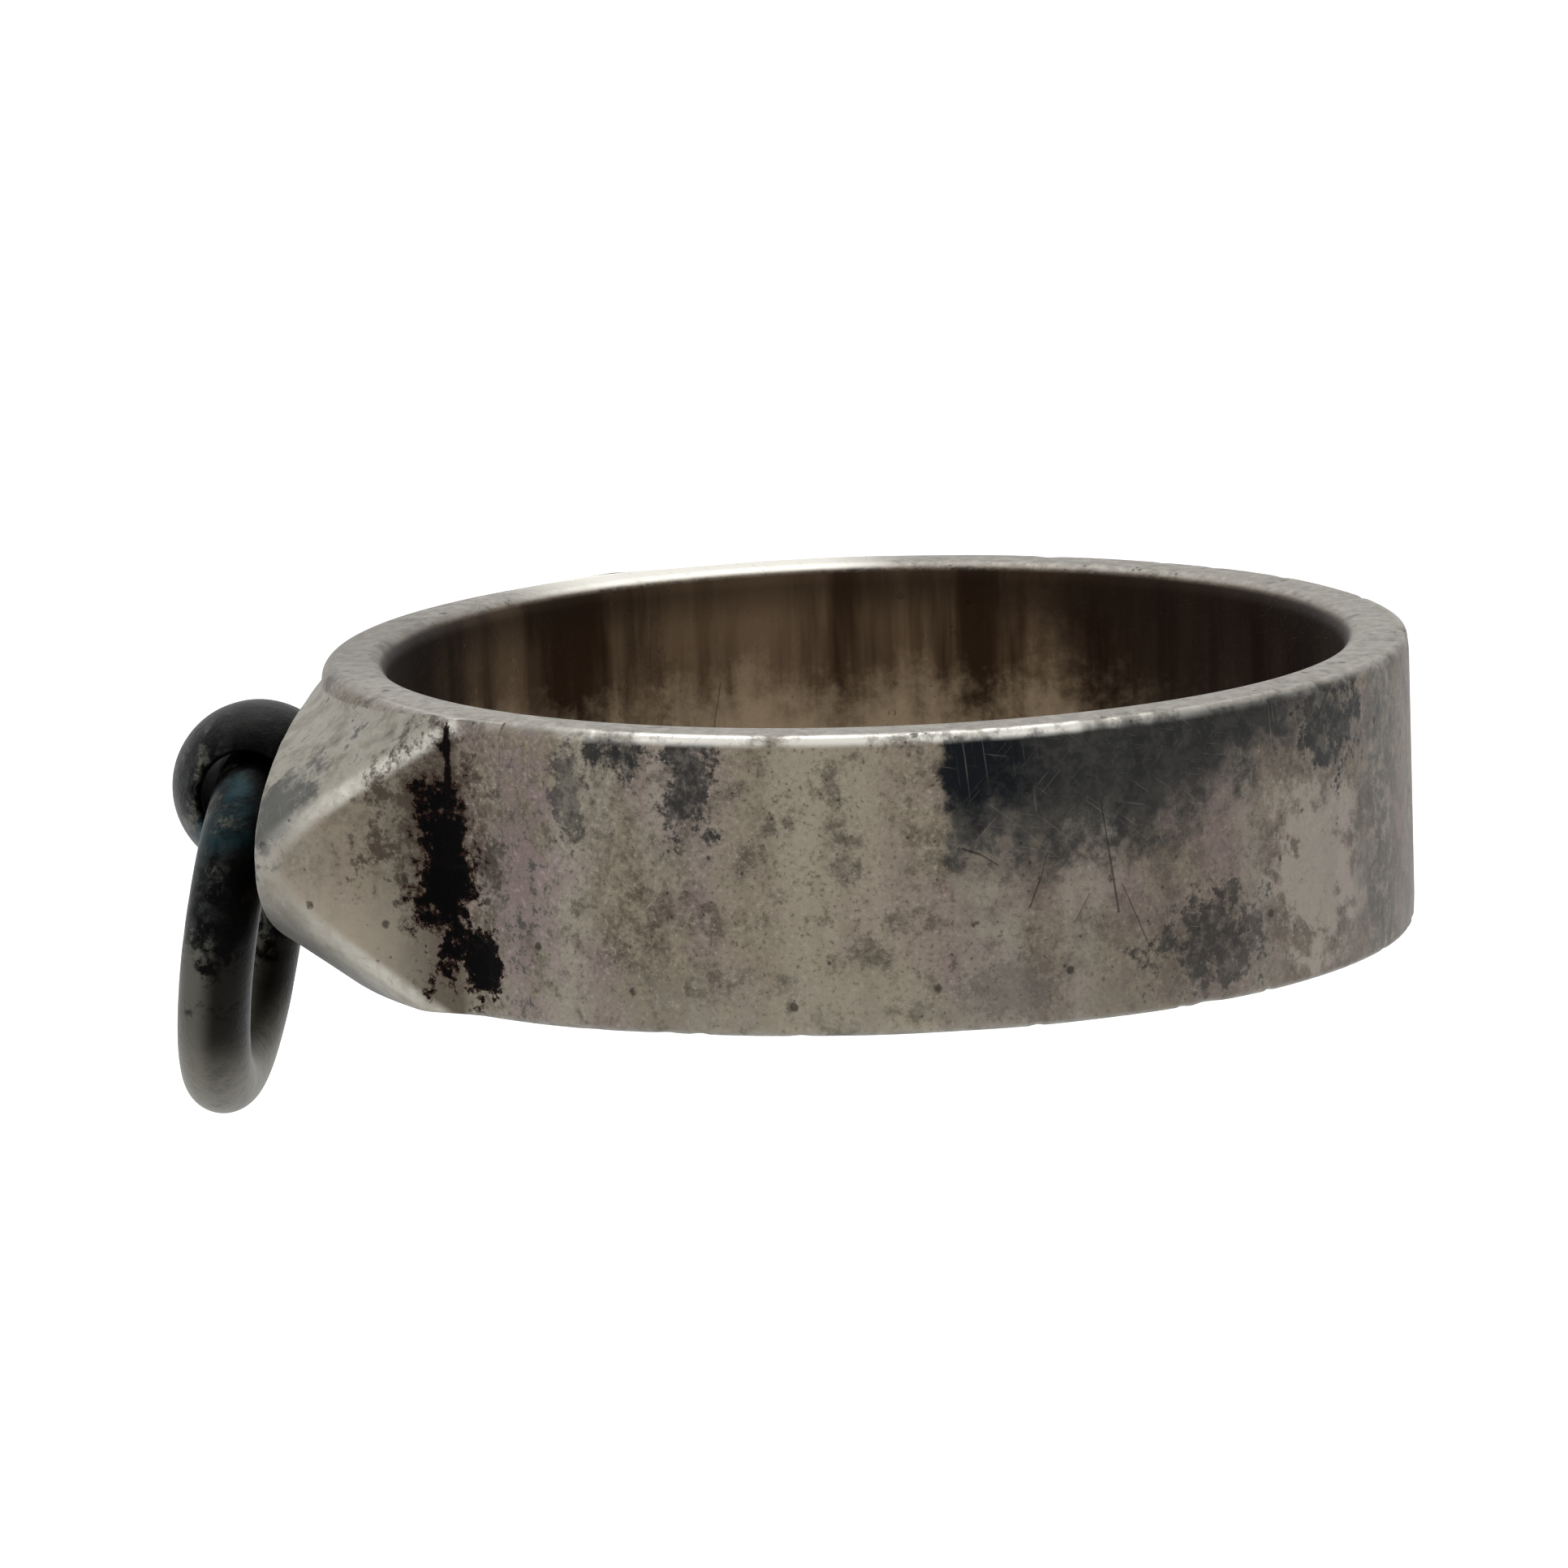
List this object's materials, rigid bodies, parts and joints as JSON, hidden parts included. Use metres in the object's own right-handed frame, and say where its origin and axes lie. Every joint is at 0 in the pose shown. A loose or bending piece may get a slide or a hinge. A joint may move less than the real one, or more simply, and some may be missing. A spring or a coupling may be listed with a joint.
{
  "type": "finger ring with captive hoop",
  "caption": "Flat finger band with a bevelled flat-topped head, a drilled bead on the head and a captive round-wire hoop that swings in the bead.",
  "frame": {"origin": "centre of the finger bore", "axes": "+Z along the finger bore, -X towards the head and its bead, the bead's hole along Y, the hoop hangs towards -Z"},
  "size_m": [0.024, 0.0206, 0.0092],
  "materials": {
    "worn_silver": "worn sterling silver with tarnish in the hollows",
    "dark_silver": "oxidised sterling silver, worn bright on the high places"
  },
  "bodies": {
    "ring": {"band": "worn_silver", "head": "worn_silver", "bead": "dark_silver", "bead_peg": "dark_silver"},
    "hoop": {"hoop": "dark_silver"}
  },
  "joints": [
    {"name": "hoop_swing", "type": "hinge", "parent": "ring", "child": "hoop", "pos_m": [-0.0119, 0, 0], "axis": [0, 1, 0], "range_deg": [-19, 179]}
  ]
}
